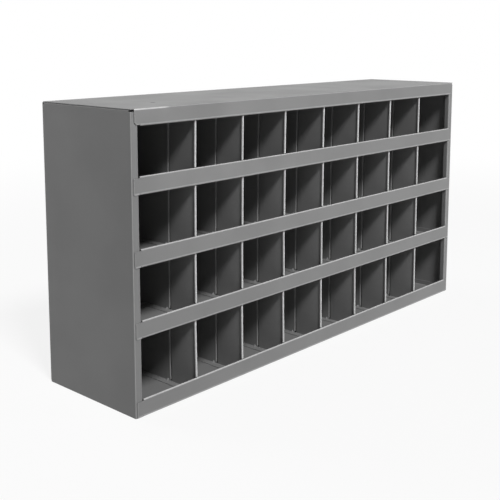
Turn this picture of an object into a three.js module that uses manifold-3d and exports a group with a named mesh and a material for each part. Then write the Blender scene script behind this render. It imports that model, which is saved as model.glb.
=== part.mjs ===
// A pigeonhole mail sorter: a spot-welded sheet-steel carcass with rows of open bins.
// Millimetres, +Z up, the open front towards -Y, origin under the middle of the unit.
import * as THREE from 'three';
import { ConvexGeometry } from 'three/addons/geometries/ConvexGeometry.js';
import { mergeVertices } from 'three/addons/utils/BufferGeometryUtils.js';
import Module from 'manifold-3d';

const wasm = await Module();
wasm.setup();

// Overall size
const WIDTH = 857;
const DEPTH = 208;
const HEIGHT = 440;

// Rows and columns: the end ones have their own size and the others share what is left
const COLUMNS = 8;
const END_COLUMN_WIDTH = 123.7;
const MIDDLE_SHELVES = ['lower_shelf', 'middle_shelf', 'upper_shelf'];
const BOTTOM_ROW_HEIGHT = 115.5;
const TOP_ROW_HEIGHT = 119.5;

// Sheet and its bends
const SHEET = 1.2;
const BEND_RADIUS = 1.2;
const DIVIDER_SHEET = 0.9;
const DIVIDER_BEND_RADIUS = 0.8;
const ARC_STEP_DEGREES = 30;

// Clearances
const LAP_GAP = 0.3;
const EDGE_CLEARANCE = 1.0;

// Side panels: a front post, a rear flange and a top flange
const POST_WIDTH = 12.7;
const POST_RETURN = 9.5;
const REAR_FLANGE = 12.7;
const SIDE_TOP_FLANGE = 14;
const CORNER_RELIEF = 5;

// Top panel
const TOP_LIP_DROP = 24;
const TOP_TAB_DROP = 22;
const TOP_TAB_INSET = 5.8;
const TOP_TAB_CHAMFER = 3;
const TOP_LIP_RETURN = 8;

// Back panel
const BACK_INSET = 1.5;

// Shelf trays
const LIP_HEIGHT = 26;
const LIP_HEM_RADIUS = 0.6;
const LIP_HEM_RETURN = 8;
const LIP_TAB_INSET = 5;
const LIP_TAB_TOP_NOTCH = 2.4;
const LIP_TAB_FOOT_NOTCH = 1.8;
const LIP_TAB_CORNER = 2;
const TRAY_FLANGE = 10.5;

// Dividers
const DIVIDER_SETBACK = 3.2;
const DIVIDER_HEM_RADIUS = 0.75;
const DIVIDER_HEM_RETURN = 0.9;
const DIVIDER_LIP_NOTCH = 2.8;
const DIVIDER_FOOT = 11.5;
const DIVIDER_HEAD_GAP = 0.5;
const BEAD_SETBACK = 63;
const BEAD_DEPTH = 2.4;
const BEAD_SLOPE_DEGREES = 60;
const BEAD_BEND_RADIUS = 0.5;
const BEAD_RELIEF_WIDTH = 6;
const BEAD_RELIEF_HEIGHT = 3.5;
const DART_SETBACK = 70;
const DART_WIDTH = 8;
const DART_HEIGHT = 4.2;

// Levels and planes that several pieces share
const HALF_WIDTH = WIDTH / 2;
const FRONT = -DEPTH / 2;
const REAR = DEPTH / 2;
const POST_FRONT = FRONT + SHEET + LAP_GAP;
const POST_REAR = POST_FRONT + POST_RETURN;
const FLANGE_REAR = REAR - SHEET - LAP_GAP;
const FLANGE_FRONT = FLANGE_REAR - SHEET;
const BEND_SIZE = SHEET + BEND_RADIUS;
const BETWEEN_POSTS = HALF_WIDTH - POST_WIDTH - EDGE_CLEARANCE;
const TOP_UNDERSIDE = HEIGHT - SHEET;
const DIVIDERS_A_ROW = COLUMNS - 1;
const COLUMN_PITCH = (WIDTH - 2 * END_COLUMN_WIDTH) / (DIVIDERS_A_ROW - 1);
const ROW_PITCH = (HEIGHT - BOTTOM_ROW_HEIGHT - TOP_ROW_HEIGHT) / (MIDDLE_SHELVES.length - 1);

// Paint
const powderCoat = new THREE.MeshStandardMaterial({ color: 0x8c8c8c, roughness: 0.5, metalness: 0.0 });

const run = (length) => ({ length });
const bend = (degrees, insideRadius) => ({ degrees, insideRadius });

// The cross-section of a folded strip of sheet. It starts at the middle of the strip's end, sets off
// along a heading, and follows straight runs and bends; a positive bend turns to the left.
function foldedSection(start, headingDegrees, thickness, steps) {
  const half = thickness / 2;
  const leftSide = [];
  const rightSide = [];
  const point = new THREE.Vector2(...start);
  let heading = THREE.MathUtils.degToRad(headingDegrees);
  const towards = (angle, distance) =>
    new THREE.Vector2(Math.cos(angle), Math.sin(angle)).multiplyScalar(distance);
  const leftOf = (distance) => towards(heading + Math.PI / 2, distance);
  const mark = () => {
    leftSide.push(point.clone().add(leftOf(half)));
    rightSide.push(point.clone().add(leftOf(-half)));
  };
  mark();
  for (const step of steps) {
    if (step.length !== undefined) {
      point.add(towards(heading, step.length));
      mark();
      continue;
    }
    const toCentre = Math.sign(step.degrees) * (step.insideRadius + half);
    const centre = point.clone().add(leftOf(toCentre));
    const arcSteps = Math.ceil(Math.abs(step.degrees) / ARC_STEP_DEGREES);
    for (let k = 0; k < arcSteps; k += 1) {
      heading += THREE.MathUtils.degToRad(step.degrees / arcSteps);
      point.copy(centre).add(leftOf(-toCentre));
      mark();
    }
  }
  return new THREE.Shape([...leftSide, ...rightSide.reverse()]);
}

function rectangle(left, bottom, right, top) {
  const corners = [[left, bottom], [right, bottom], [right, top], [left, top]];
  return new THREE.Shape(corners.map(([x, y]) => new THREE.Vector2(x, y)));
}

// How a drawn section lies in the unit when it is extruded along X, Y or Z: a section along X is drawn
// in Y and Z, one along Y in X and Z, and one along Z in X and Y.
const X_AXIS = new THREE.Vector3(1, 0, 0);
const Y_AXIS = new THREE.Vector3(0, 1, 0);
const Z_AXIS = new THREE.Vector3(0, 0, 1);
const SECTION_PLANES = {
  x: new THREE.Matrix4().makeBasis(Y_AXIS, Z_AXIS, X_AXIS),
  y: new THREE.Matrix4().makeBasis(X_AXIS, Z_AXIS, Y_AXIS.clone().negate()),
  z: new THREE.Matrix4(),
};

function extruded(section, axis, from, to) {
  const geometry = new THREE.ExtrudeGeometry(section, { depth: to - from, bevelEnabled: false });
  geometry.translate(0, 0, axis === 'y' ? -to : from);
  geometry.applyMatrix4(SECTION_PLANES[axis]);
  return solid(geometry);
}

function solid(geometry) {
  geometry.deleteAttribute('normal');
  geometry.deleteAttribute('uv');
  const merged = mergeVertices(geometry);
  const mesh = new wasm.Mesh({
    numProp: 3,
    vertProperties: new Float32Array(merged.attributes.position.array),
    triVerts: new Uint32Array(merged.index.array),
  });
  return new wasm.Manifold(mesh);
}

function joined(...solids) {
  return solids.reduce((whole, piece) => whole.add(piece));
}

function namedMesh(name, piece) {
  const { vertProperties, triVerts } = piece.getMesh();
  const geometry = new THREE.BufferGeometry();
  geometry.setAttribute('position', new THREE.BufferAttribute(vertProperties, 3));
  geometry.setIndex(new THREE.BufferAttribute(triVerts, 1));
  geometry.computeVertexNormals();
  const mesh = new THREE.Mesh(geometry, powderCoat);
  mesh.name = name;
  return mesh;
}

// A side panel is one sheet. In plan it runs from the rear flange along the wall to the front post,
// and its top edge turns in under the top panel. side is -1 on the left and 1 on the right.
function sidePanel(side) {
  const wallMiddle = side * (HALF_WIDTH - SHEET / 2);
  const flangeTop = TOP_UNDERSIDE - LAP_GAP;
  const wallTop = flangeTop - BEND_SIZE;
  const inward = -side * 90;
  const wallRun = FLANGE_REAR - POST_FRONT - 2 * BEND_SIZE;
  const plan = foldedSection(
    [side * (HALF_WIDTH - REAR_FLANGE), FLANGE_REAR - SHEET / 2],
    side < 0 ? 180 : 0,
    SHEET,
    [
      run(REAR_FLANGE - BEND_SIZE),
      bend(inward, BEND_RADIUS),
      run(wallRun),
      bend(inward, BEND_RADIUS),
      run(POST_WIDTH - 2 * BEND_SIZE),
      bend(inward, BEND_RADIUS),
      run(POST_RETURN - BEND_SIZE),
    ],
  );
  const topEdge = foldedSection([wallMiddle, wallTop - BEND_SIZE], 90, SHEET, [
    run(BEND_SIZE),
    bend(-inward, BEND_RADIUS),
    run(SIDE_TOP_FLANGE - BEND_SIZE),
  ]);
  return joined(
    extruded(plan, 'z', 0, wallTop),
    extruded(topEdge, 'y', POST_FRONT + CORNER_RELIEF, FLANGE_REAR - CORNER_RELIEF),
  );
}

// The top panel is one sheet whose front edge turns down over the posts. Between the posts the edge is
// deeper and turns back once more; at each end a plain tab laps the post.
function topPanel() {
  const lidRun = FLANGE_REAR - FRONT - 2 * BEND_SIZE;
  const frontToRear = foldedSection([FLANGE_REAR - SHEET / 2, HEIGHT - REAR_FLANGE], 90, SHEET, [
    run(REAR_FLANGE - BEND_SIZE),
    bend(90, BEND_RADIUS),
    run(lidRun),
    bend(90, BEND_RADIUS),
    run(TOP_LIP_DROP - 2 * BEND_SIZE),
    bend(90, BEND_RADIUS),
    run(TOP_LIP_RETURN - BEND_SIZE),
  ]);
  const lidMiddle = HEIGHT - SHEET / 2;
  const tab = foldedSection([FRONT + BEND_SIZE + POST_RETURN, lidMiddle], 180, SHEET, [
    run(POST_RETURN),
    bend(90, BEND_RADIUS),
    run(TOP_TAB_DROP - BEND_SIZE),
  ]);
  const tabEnd = HALF_WIDTH - TOP_TAB_INSET;
  const lid = rectangle(-HALF_WIDTH, FRONT + BEND_SIZE, HALF_WIDTH, FLANGE_REAR - BEND_SIZE);
  const chamfers = joined(tabChamfer(-1, tabEnd), tabChamfer(1, tabEnd));
  const tabs = extruded(tab, 'x', -tabEnd, tabEnd).subtract(chamfers);
  return joined(
    extruded(frontToRear, 'x', -BETWEEN_POSTS, BETWEEN_POSTS),
    tabs,
    extruded(lid, 'z', TOP_UNDERSIDE, HEIGHT),
  );
}

// What is cut off the lower outer corner of a top tab: everything beyond a slanting line.
function tabChamfer(side, tabEnd) {
  const cut = TOP_TAB_CHAMFER;
  const tabFoot = HEIGHT - TOP_TAB_DROP;
  const beyond = new THREE.Shape([
    new THREE.Vector2(side * (tabEnd - 2 * cut), tabFoot - cut),
    new THREE.Vector2(side * (tabEnd + cut), tabFoot - cut),
    new THREE.Vector2(side * (tabEnd + cut), tabFoot + 2 * cut),
  ]);
  return extruded(beyond, 'y', FRONT - EDGE_CLEARANCE, FRONT + BEND_SIZE);
}

// The back panel is a flat sheet on the outside of all the rear flanges.
function backPanel() {
  const across = HALF_WIDTH - BACK_INSET;
  const sheet = rectangle(-across, BACK_INSET, across, HEIGHT - BACK_INSET);
  return extruded(sheet, 'y', REAR - SHEET, REAR);
}

// The flat end of a lip, lapped on the front of a post and rounded at its outer corners.
function lipTab(side, underside) {
  const inner = side * (BETWEEN_POSTS - LIP_TAB_CORNER);
  const outer = side * (HALF_WIDTH - LIP_TAB_INSET);
  const low = underside + LIP_TAB_FOOT_NOTCH;
  const high = underside + LIP_HEIGHT - LIP_TAB_TOP_NOTCH;
  const shoulder = outer - side * LIP_TAB_CORNER;
  const outline = new THREE.Shape();
  outline.moveTo(inner, low);
  outline.lineTo(shoulder, low);
  outline.quadraticCurveTo(outer, low, outer, low + LIP_TAB_CORNER);
  outline.lineTo(outer, high - LIP_TAB_CORNER);
  outline.quadraticCurveTo(outer, high, shoulder, high);
  outline.lineTo(inner, high);
  const points = outline.getPoints(3);
  return extruded(new THREE.Shape(points), 'y', FRONT, FRONT + SHEET);
}

// A shelf is a tray from one sheet: the floor turns up at the rear and at both ends, and at the front it
// turns up into a lip whose top edge is rolled back into a hem.
function shelf(underside) {
  const lipRun = LIP_HEIGHT - BEND_SIZE - LIP_HEM_RADIUS - SHEET;
  const frontToRear = foldedSection([FLANGE_REAR - SHEET / 2, underside + TRAY_FLANGE], 270, SHEET, [
    run(TRAY_FLANGE - BEND_SIZE),
    bend(-90, BEND_RADIUS),
    run(FLANGE_REAR - FRONT - 2 * BEND_SIZE),
    bend(-90, BEND_RADIUS),
    run(lipRun),
    bend(-180, LIP_HEM_RADIUS),
    run(LIP_HEM_RETURN),
  ]);
  const trayEnd = HALF_WIDTH - SHEET - LAP_GAP;
  const endToEnd = foldedSection([-trayEnd + SHEET / 2, underside + TRAY_FLANGE], 270, SHEET, [
    run(TRAY_FLANGE - BEND_SIZE),
    bend(90, BEND_RADIUS),
    run(2 * (trayEnd - BEND_SIZE)),
    bend(90, BEND_RADIUS),
    run(TRAY_FLANGE - BEND_SIZE),
  ]);
  return joined(
    extruded(frontToRear, 'x', -BETWEEN_POSTS, BETWEEN_POSTS),
    extruded(endToEnd, 'y', POST_REAR + EDGE_CLEARANCE, FLANGE_FRONT - EDGE_CLEARANCE),
    lipTab(-1, underside),
    lipTab(1, underside),
  );
}

// A dart stiffens the bend of a divider's foot: a three-cornered ridge in the corner on the left, and
// behind it the hollow that the press leaves.
function footDart(wallLeft, footTop) {
  const middle = FRONT + DART_SETBACK;
  const corners = [
    new THREE.Vector3(wallLeft, middle - DART_WIDTH / 2, footTop),
    new THREE.Vector3(wallLeft, middle + DART_WIDTH / 2, footTop),
    new THREE.Vector3(wallLeft, middle, footTop + DART_HEIGHT),
    new THREE.Vector3(wallLeft - DART_HEIGHT, middle, footTop),
  ];
  const intoSheet = new THREE.Vector3(DIVIDER_SHEET, 0, -DIVIDER_SHEET);
  const sunk = (sheets) => corners.map((corner) => corner.clone().addScaledVector(intoSheet, sheets));
  return {
    ridge: solid(new ConvexGeometry([...corners, ...sunk(1 / 3)])),
    hollow: solid(new ConvexGeometry([...sunk(1), ...sunk(3)])),
  };
}

// A divider is one sheet: a rounded hem down its front edge, a bead pressed into its wall, and a foot
// turned to the left along the floor. Below the hem it is cut back to clear the lip, the bead ends above
// the foot in a three-cornered relief, and a dart is pressed across the foot's bend behind the bead. The
// top row is also cut back round the top panel's lip.
function divider(middle, floor, ceiling, underTopLip) {
  const foot = floor + LAP_GAP;
  const head = ceiling - DIVIDER_HEAD_GAP;
  const lipTop = floor - SHEET + LIP_HEIGHT;
  const rearEdge = FLANGE_FRONT - BEND_RADIUS - EDGE_CLEARANCE;
  const hemFront = FRONT + DIVIDER_SETBACK;
  const wallFront = hemFront + DIVIDER_LIP_NOTCH;
  const hemSize = DIVIDER_HEM_RADIUS + DIVIDER_SHEET;
  const hemRear = hemFront + hemSize + DIVIDER_HEM_RETURN;
  const hemStart = [middle - 2 * DIVIDER_HEM_RADIUS - DIVIDER_SHEET, hemRear];
  const hem = foldedSection(hemStart, 270, DIVIDER_SHEET, [
    run(DIVIDER_HEM_RETURN),
    bend(180, DIVIDER_HEM_RADIUS),
    run(DIVIDER_LIP_NOTCH),
  ]);
  const slope = THREE.MathUtils.degToRad(BEAD_SLOPE_DEGREES);
  const bendRadius = BEAD_BEND_RADIUS + DIVIDER_SHEET / 2;
  const bendDrop = 2 * bendRadius * (1 - Math.cos(slope));
  const flankRun = (BEAD_DEPTH - bendDrop) / Math.sin(slope);
  const beadHalf = 2 * bendRadius * Math.sin(slope) + flankRun * Math.cos(slope);
  const beadMiddle = FRONT + BEAD_SETBACK;
  const wall = foldedSection([middle, wallFront], 90, DIVIDER_SHEET, [
    run(beadMiddle - beadHalf - wallFront),
    bend(-BEAD_SLOPE_DEGREES, BEAD_BEND_RADIUS),
    run(flankRun),
    bend(2 * BEAD_SLOPE_DEGREES, BEAD_BEND_RADIUS),
    run(flankRun),
    bend(-BEAD_SLOPE_DEGREES, BEAD_BEND_RADIUS),
    run(rearEdge - beadMiddle - beadHalf),
  ]);
  const footBend = DIVIDER_SHEET + DIVIDER_BEND_RADIUS;
  const footRun = DIVIDER_FOOT - footBend;
  const reliefTop = foot + footBend + BEAD_RELIEF_HEIGHT;
  const footSection = foldedSection(
    [middle + DIVIDER_SHEET / 2 - DIVIDER_FOOT, foot + DIVIDER_SHEET / 2],
    0,
    DIVIDER_SHEET,
    [run(footRun), bend(90, DIVIDER_BEND_RADIUS), run(BEAD_RELIEF_HEIGHT)],
  );
  const relief = new THREE.Shape([
    new THREE.Vector2(beadMiddle - BEAD_RELIEF_WIDTH / 2, foot + footBend),
    new THREE.Vector2(beadMiddle + BEAD_RELIEF_WIDTH / 2, foot + footBend),
    new THREE.Vector2(beadMiddle, reliefTop),
  ]);
  const dart = footDart(middle - DIVIDER_SHEET / 2, foot + DIVIDER_SHEET);
  const piece = joined(
    extruded(hem, 'z', lipTop + LAP_GAP, head),
    extruded(wall, 'z', foot + footBend, head),
    extruded(footSection, 'y', wallFront, rearEdge),
    dart.ridge,
  )
    .subtract(extruded(relief, 'x', middle - DIVIDER_FOOT, middle + DIVIDER_FOOT))
    .subtract(dart.hollow);
  if (!underTopLip) {
    return piece;
  }
  const topNotch = rectangle(
    FRONT,
    HEIGHT - TOP_LIP_DROP - LAP_GAP,
    FRONT + TOP_LIP_RETURN + EDGE_CLEARANCE,
    HEIGHT,
  );
  return piece.subtract(extruded(topNotch, 'x', middle - DIVIDER_FOOT, middle + DIVIDER_FOOT));
}

const sorter = new THREE.Group();
sorter.add(
  namedMesh('left_side_panel', sidePanel(-1)),
  namedMesh('right_side_panel', sidePanel(1)),
  namedMesh('top_panel', topPanel()),
  namedMesh('back_panel', backPanel()),
  namedMesh('base_shelf', shelf(0)),
);
const shelfUndersides = [0];
MIDDLE_SHELVES.forEach((name, index) => {
  const underside = BOTTOM_ROW_HEIGHT + index * ROW_PITCH;
  shelfUndersides.push(underside);
  sorter.add(namedMesh(name, shelf(underside)));
});

// Rows are counted from the top and dividers from the left
shelfUndersides.forEach((underside, index) => {
  const row = shelfUndersides.length - index;
  const ceiling = shelfUndersides[index + 1] ?? TOP_UNDERSIDE;
  for (let column = 1; column <= DIVIDERS_A_ROW; column += 1) {
    const middle = (column - (DIVIDERS_A_ROW + 1) / 2) * COLUMN_PITCH;
    const piece = divider(middle, underside + SHEET, ceiling, row === 1);
    sorter.add(namedMesh(`divider_row${row}_${column}`, piece));
  }
});

export default sorter;
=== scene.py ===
"""A pigeonhole mail sorter: folded steel sheets, powder-coated and set in a pale studio."""

import logging
import math
import random
from abc import ABC, abstractmethod
from collections.abc import Callable
from dataclasses import dataclass
from enum import Enum

import bmesh
import bpy
from mathutils import Matrix, Vector


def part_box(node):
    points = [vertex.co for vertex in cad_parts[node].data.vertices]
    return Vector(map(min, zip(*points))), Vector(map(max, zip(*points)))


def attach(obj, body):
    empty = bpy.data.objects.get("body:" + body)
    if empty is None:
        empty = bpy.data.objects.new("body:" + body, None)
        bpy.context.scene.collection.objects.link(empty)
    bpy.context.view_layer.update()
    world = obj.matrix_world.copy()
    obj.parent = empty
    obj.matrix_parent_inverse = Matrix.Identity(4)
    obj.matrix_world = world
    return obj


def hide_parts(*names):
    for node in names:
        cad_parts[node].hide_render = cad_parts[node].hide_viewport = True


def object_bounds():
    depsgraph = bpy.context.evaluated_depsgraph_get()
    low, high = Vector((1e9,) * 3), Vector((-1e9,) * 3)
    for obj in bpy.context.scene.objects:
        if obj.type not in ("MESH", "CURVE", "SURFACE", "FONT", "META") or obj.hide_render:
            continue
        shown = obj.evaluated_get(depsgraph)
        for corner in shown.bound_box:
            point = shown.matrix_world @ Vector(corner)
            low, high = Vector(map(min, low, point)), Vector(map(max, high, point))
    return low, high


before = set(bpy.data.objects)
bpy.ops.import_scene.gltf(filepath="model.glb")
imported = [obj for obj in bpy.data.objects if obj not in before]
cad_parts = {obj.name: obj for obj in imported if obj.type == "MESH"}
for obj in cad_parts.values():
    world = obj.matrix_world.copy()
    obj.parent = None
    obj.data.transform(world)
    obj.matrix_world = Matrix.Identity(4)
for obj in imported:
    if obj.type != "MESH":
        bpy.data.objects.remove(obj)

CAD_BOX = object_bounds()
BODY = "root"
MM = 0.001
TOUCHING = 0.02 * MM
DOUBLED_OVER = 180.0
WEAR_AND_HIGHLIGHT = "wear_and_highlight"
PAINTED_SHADE = "painted_shade"
NO_BEND_HIGHLIGHT = "no_bend_highlight"
NOISE_SPREAD = (0.3, 0.7)

LOG = logging.getLogger("mail_sorter")

Piece = bpy.types.Object
Socket = bpy.types.NodeSocket
Sockets = dict[str, Socket]
Colour = tuple[float, float, float, float]
Span = float | tuple[float, float] | None
Box = tuple[Span, Span, Span]


class Way(Enum):
    """The ways that a sheet's edge can be drawn out or turned, as seen from in front of the unit."""

    LEFT = (-1, 0, 0)
    RIGHT = (1, 0, 0)
    FRONT = (0, -1, 0)
    BACK = (0, 1, 0)
    DOWN = (0, 0, -1)
    UP = (0, 0, 1)

    @property
    def vector(self) -> Vector:
        """The way as a unit vector."""
        return Vector(self.value)

    @property
    def other(self) -> "Way":
        """The opposite way."""
        return Way(tuple(-x for x in self.value))


SIDES = (Way.LEFT, Way.RIGHT)


class Part(Enum):
    """The parts of a mesh that can be selected: the mesh's name for them, and the mode to do it in."""

    POINTS = ("verts", "VERT")
    EDGES = ("edges", "EDGE")
    FACES = ("faces", "EDGE")


@dataclass(frozen=True)
class Gauge:
    """A sheet's thickness, and how it bends and is cut."""

    thickness: float
    bend_radius: float
    cut_radius: float = 0.2 * MM
    degrees_a_step: float = 15.0

    @property
    def half(self) -> float:
        """Half the thickness."""
        return self.thickness / 2

    @property
    def bend(self) -> float:
        """How much of a flange's outside size its bend takes up."""
        return self.thickness + self.bend_radius


@dataclass(frozen=True)
class WeldMark:
    """The shallow round dent that a spot weld leaves, with painted shade in it that is darkest in its
    core.
    """

    radius: float = 3.6 * MM
    core: float = 1.6 * MM
    depth: float = 0.3 * MM
    # How dark the painted shade in the dent is.
    paint_shade: float = 1.0
    cuts: int = 7


CARCASS_GAUGE = Gauge(thickness=1.2 * MM, bend_radius=1.2 * MM)
DIVIDER_GAUGE = Gauge(thickness=0.9 * MM, bend_radius=0.8 * MM)


def deselect_objects() -> None:
    """Leaves no object selected, so that an operator acts on the new piece alone."""
    bpy.ops.object.select_all(action="DESELECT")


def apply_modifier(piece: Piece, kind: str, **settings: object) -> None:
    """Adds a modifier to a piece and applies it.

    Args:
        piece: The piece, which becomes the active object.
        kind: Blender's name of the modifier's type.
        **settings: The modifier's properties.
    """
    bpy.context.view_layer.objects.active = piece
    modifier = piece.modifiers.new(kind.lower(), kind)
    for name, value in settings.items():
        setattr(modifier, name, value)
    bpy.ops.object.modifier_apply(modifier=modifier.name)


class FoldedSheet:
    """A sheet on the folding bench: a flat blank whose edges are picked, drawn out and turned over.

    While it is folded the mesh is the middle of the sheet, and close() gives it its thickness. Its parts
    are found by the box that they lie in, which has a level, two levels to lie between, or None for
    anywhere, in each of X, Y and Z.
    """

    SMOOTH_ANGLE = math.radians(35)
    CUT_ANGLE = math.radians(75)
    CUT_STEPS = 3

    def __init__(self, name: str, gauge: Gauge, low: Vector, high: Vector) -> None:
        """Lays out the blank.

        Args:
            name: The piece's name.
            gauge: The sheet that it is cut from.
            low: The blank's lowest corner.
            high: Its highest corner, level with low in the one direction in which the blank is flat.
        """
        self.gauge = gauge
        self.heading = Vector()
        size = high - low
        flat = min(range(3), key=lambda axis: size[axis])
        turned = ((0, math.pi / 2, 0), (math.pi / 2, 0, 0), (0, 0, 0))[flat]
        scale = ((size.z, size.y, 1), (size.x, size.z, 1), (size.x, size.y, 1))[flat]
        deselect_objects()
        bpy.ops.mesh.primitive_plane_add(size=1, location=(low + high) / 2, rotation=turned)
        self.piece = bpy.context.active_object
        self.piece.name = name
        self.piece.data.name = name
        self.piece.scale = scale
        bpy.ops.object.transform_apply(location=True, rotation=True, scale=True)
        bpy.ops.object.mode_set(mode="EDIT")

    def mesh(self) -> bmesh.types.BMesh:
        """The mesh that is being edited."""
        return bmesh.from_edit_mesh(self.piece.data)

    def update(self) -> None:
        """Hands on what was changed in the mesh to the next operator."""
        bmesh.update_edit_mesh(self.piece.data)

    @staticmethod
    def within(place: Vector, box: Box) -> bool:
        """Whether a place lies in a box.

        Args:
            place: The place to test.
            box: The box.

        Returns:
            True where it lies within all three spans.
        """
        for value, span in zip(place, box):
            if span is None:
                continue
            low, high = sorted(span) if isinstance(span, tuple) else (span, span)
            if not low - TOUCHING <= value <= high + TOUCHING:
                return False
        return True

    def select(self, part: Part, *boxes: Box) -> None:
        """Selects the points, edges or faces that lie in a box, and nothing else.

        Args:
            part: What is selected.
            *boxes: The boxes, one of which holds all the corners of what is selected.
        """
        name, mode = part.value
        bpy.ops.mesh.select_mode(type=mode)
        bpy.ops.mesh.select_all(action="DESELECT")
        for item in getattr(self.mesh(), name):
            corners = [item] if part is Part.POINTS else item.verts
            if any(all(self.within(corner.co, box) for corner in corners) for box in boxes):
                item.select_set(True)
        self.update()

    def pick(self, heading: Way, x: Span = None, y: Span = None, z: Span = None) -> "FoldedSheet":
        """Picks the edges that lie in a box, to be drawn out or turned over next.

        Args:
            heading: The way that the edges face.
            x: Where they lie in X.
            y: Where they lie in Y.
            z: Where they lie in Z.

        Returns:
            This sheet, for the next step.
        """
        self.select(Part.EDGES, (x, y, z))
        self.heading = heading.vector
        return self

    def run(self, length: float) -> "FoldedSheet":
        """Draws the picked edges straight out, and returns this sheet for the next step."""
        bpy.ops.mesh.extrude_region_move(TRANSFORM_OT_translate={"value": self.heading * length})
        return self

    def turn(self, towards: Way, degrees: float = 90, inside: float | None = None) -> "FoldedSheet":
        """Bends the picked edges over.

        Args:
            towards: The side that they turn to.
            degrees: How far they turn.
            inside: The bend's inner radius, or None for the gauge's own.

        Returns:
            This sheet, for the next step.
        """
        radius = (self.gauge.bend_radius if inside is None else inside) + self.gauge.half
        along = self.heading
        side = (towards.vector - along * towards.vector.dot(along)).normalized()
        corner = next(v.co for v in self.mesh().verts if v.select)
        axis = along.cross(side)
        angle = math.radians(degrees)
        steps = math.ceil(degrees / self.gauge.degrees_a_step)
        bpy.ops.mesh.spin(steps=steps, angle=-angle, center=corner + side * radius, axis=axis)
        self.heading = Matrix.Rotation(angle, 3, axis) @ along
        return self

    def split(self, way: Way, *levels: float) -> None:
        """Scores the whole sheet along planes.

        Args:
            way: The way that the planes face.
            *levels: Where each of them lies along that way.
        """
        for level in levels:
            bpy.ops.mesh.select_all(action="SELECT")
            bpy.ops.mesh.bisect(plane_co=way.vector * level, plane_no=way.vector)

    def score(self, box: Box, facing: Way, start: Vector, end: Vector) -> None:
        """Scores the flat stretch in a box along a line.

        Args:
            box: Where the stretch lies.
            facing: The way that it faces.
            start: A point of the line.
            end: Another one.
        """
        self.select(Part.FACES, box)
        across = (end - start).cross(facing.vector).normalized()
        bpy.ops.mesh.bisect(plane_co=start, plane_no=across)

    def cut_out(self, box: Box) -> None:
        """Cuts away the faces in a box."""
        self.select(Part.FACES, box)
        bpy.ops.mesh.delete(type="FACE")

    def bridge(self, *boxes: Box) -> None:
        """Joins the open edges in one box to those in another."""
        self.select(Part.EDGES, *boxes)
        bpy.ops.mesh.bridge_edge_loops()

    def run_on(self, x: Span = None, z: Span = None) -> None:
        """Takes out the points that lie in a box, so that the edges run on past them."""
        self.select(Part.POINTS, (x, None, z))
        bpy.ops.mesh.dissolve_verts()

    def trim_corners(self, radius: float, steps: int = 1, x: Span = None, z: Span = None) -> None:
        """Takes off the corners that lie in a box.

        Args:
            radius: How much of each edge the trimmed corner takes.
            steps: 1 for a straight cut, more for a round one.
            x: Where the corners lie in X.
            z: Where they lie in Z.
        """
        self.select(Part.POINTS, (x, None, z))
        bpy.ops.mesh.bevel(offset=radius, segments=steps, affect="VERTICES")

    def dent(self, middle: Vector, way: Way, mark: WeldMark) -> None:
        """Presses a round mark into a flat stretch of the sheet.

        Args:
            middle: The middle of the mark, on the sheet.
            way: The way that it is pressed in.
            mark: The mark's size.
        """
        spans = []
        for across in (Way.RIGHT, Way.BACK, Way.UP):
            level = middle.dot(across.vector)
            if across.vector.dot(way.vector):
                spans.append(level)
            else:
                rim = (level - mark.radius, level + mark.radius)
                self.split(across, *rim)
                spans.append(rim)
        self.select(Part.FACES, tuple(spans))
        bpy.ops.mesh.subdivide(number_cuts=mark.cuts)
        for corner in self.mesh().verts:
            if corner.select:
                inside = max(0.0, 1 - (corner.co - middle).length_squared / mark.radius ** 2)
                corner.co += way.vector * mark.depth * inside ** 2
        self.update()

    def close(self) -> Piece:
        """Gives the sheet its thickness, breaks its cut edges and ends the editing.

        Returns:
            The finished piece.
        """
        bpy.ops.mesh.select_all(action="SELECT")
        bpy.ops.mesh.remove_doubles(threshold=TOUCHING / 2)
        bpy.ops.mesh.normals_make_consistent(inside=False)
        bpy.ops.object.mode_set(mode="OBJECT")
        apply_modifier(
            self.piece,
            "SOLIDIFY",
            thickness=self.gauge.thickness,
            offset=0.0,
            use_even_offset=True,
        )
        apply_modifier(
            self.piece,
            "BEVEL",
            width=self.gauge.cut_radius,
            segments=self.CUT_STEPS,
            limit_method="ANGLE",
            angle_limit=self.CUT_ANGLE,
        )
        bpy.ops.object.shade_smooth_by_angle(angle=self.SMOOTH_ANGLE)
        apply_modifier(self.piece, "WEIGHTED_NORMAL", keep_sharp=True)
        return self.piece


def mark_points(
    piece: Piece,
    name: str,
    reach: float,
    distance: Callable[[Vector], float],
    most: float = 1.0,
) -> None:
    """Marks a place on a piece's paint as an attribute of its points, fading out with distance.

    Args:
        piece: The finished piece.
        name: The attribute, which the paint reads.
        reach: How far the mark reaches.
        distance: Gives a point's distance from the marked place.
        most: The mark's strength at the place itself.
    """
    marks = piece.data.attributes.get(name)
    if marks is None:
        marks = piece.data.attributes.new(name, "FLOAT", "POINT")
    for vertex in piece.data.vertices:
        share = most * min(1.0, 1 - distance(vertex.co) / reach)
        marks.data[vertex.index].value = max(marks.data[vertex.index].value, share)


def shade(grey: float) -> Colour:
    """A neutral colour."""
    return (grey, grey, grey, 1.0)


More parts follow.
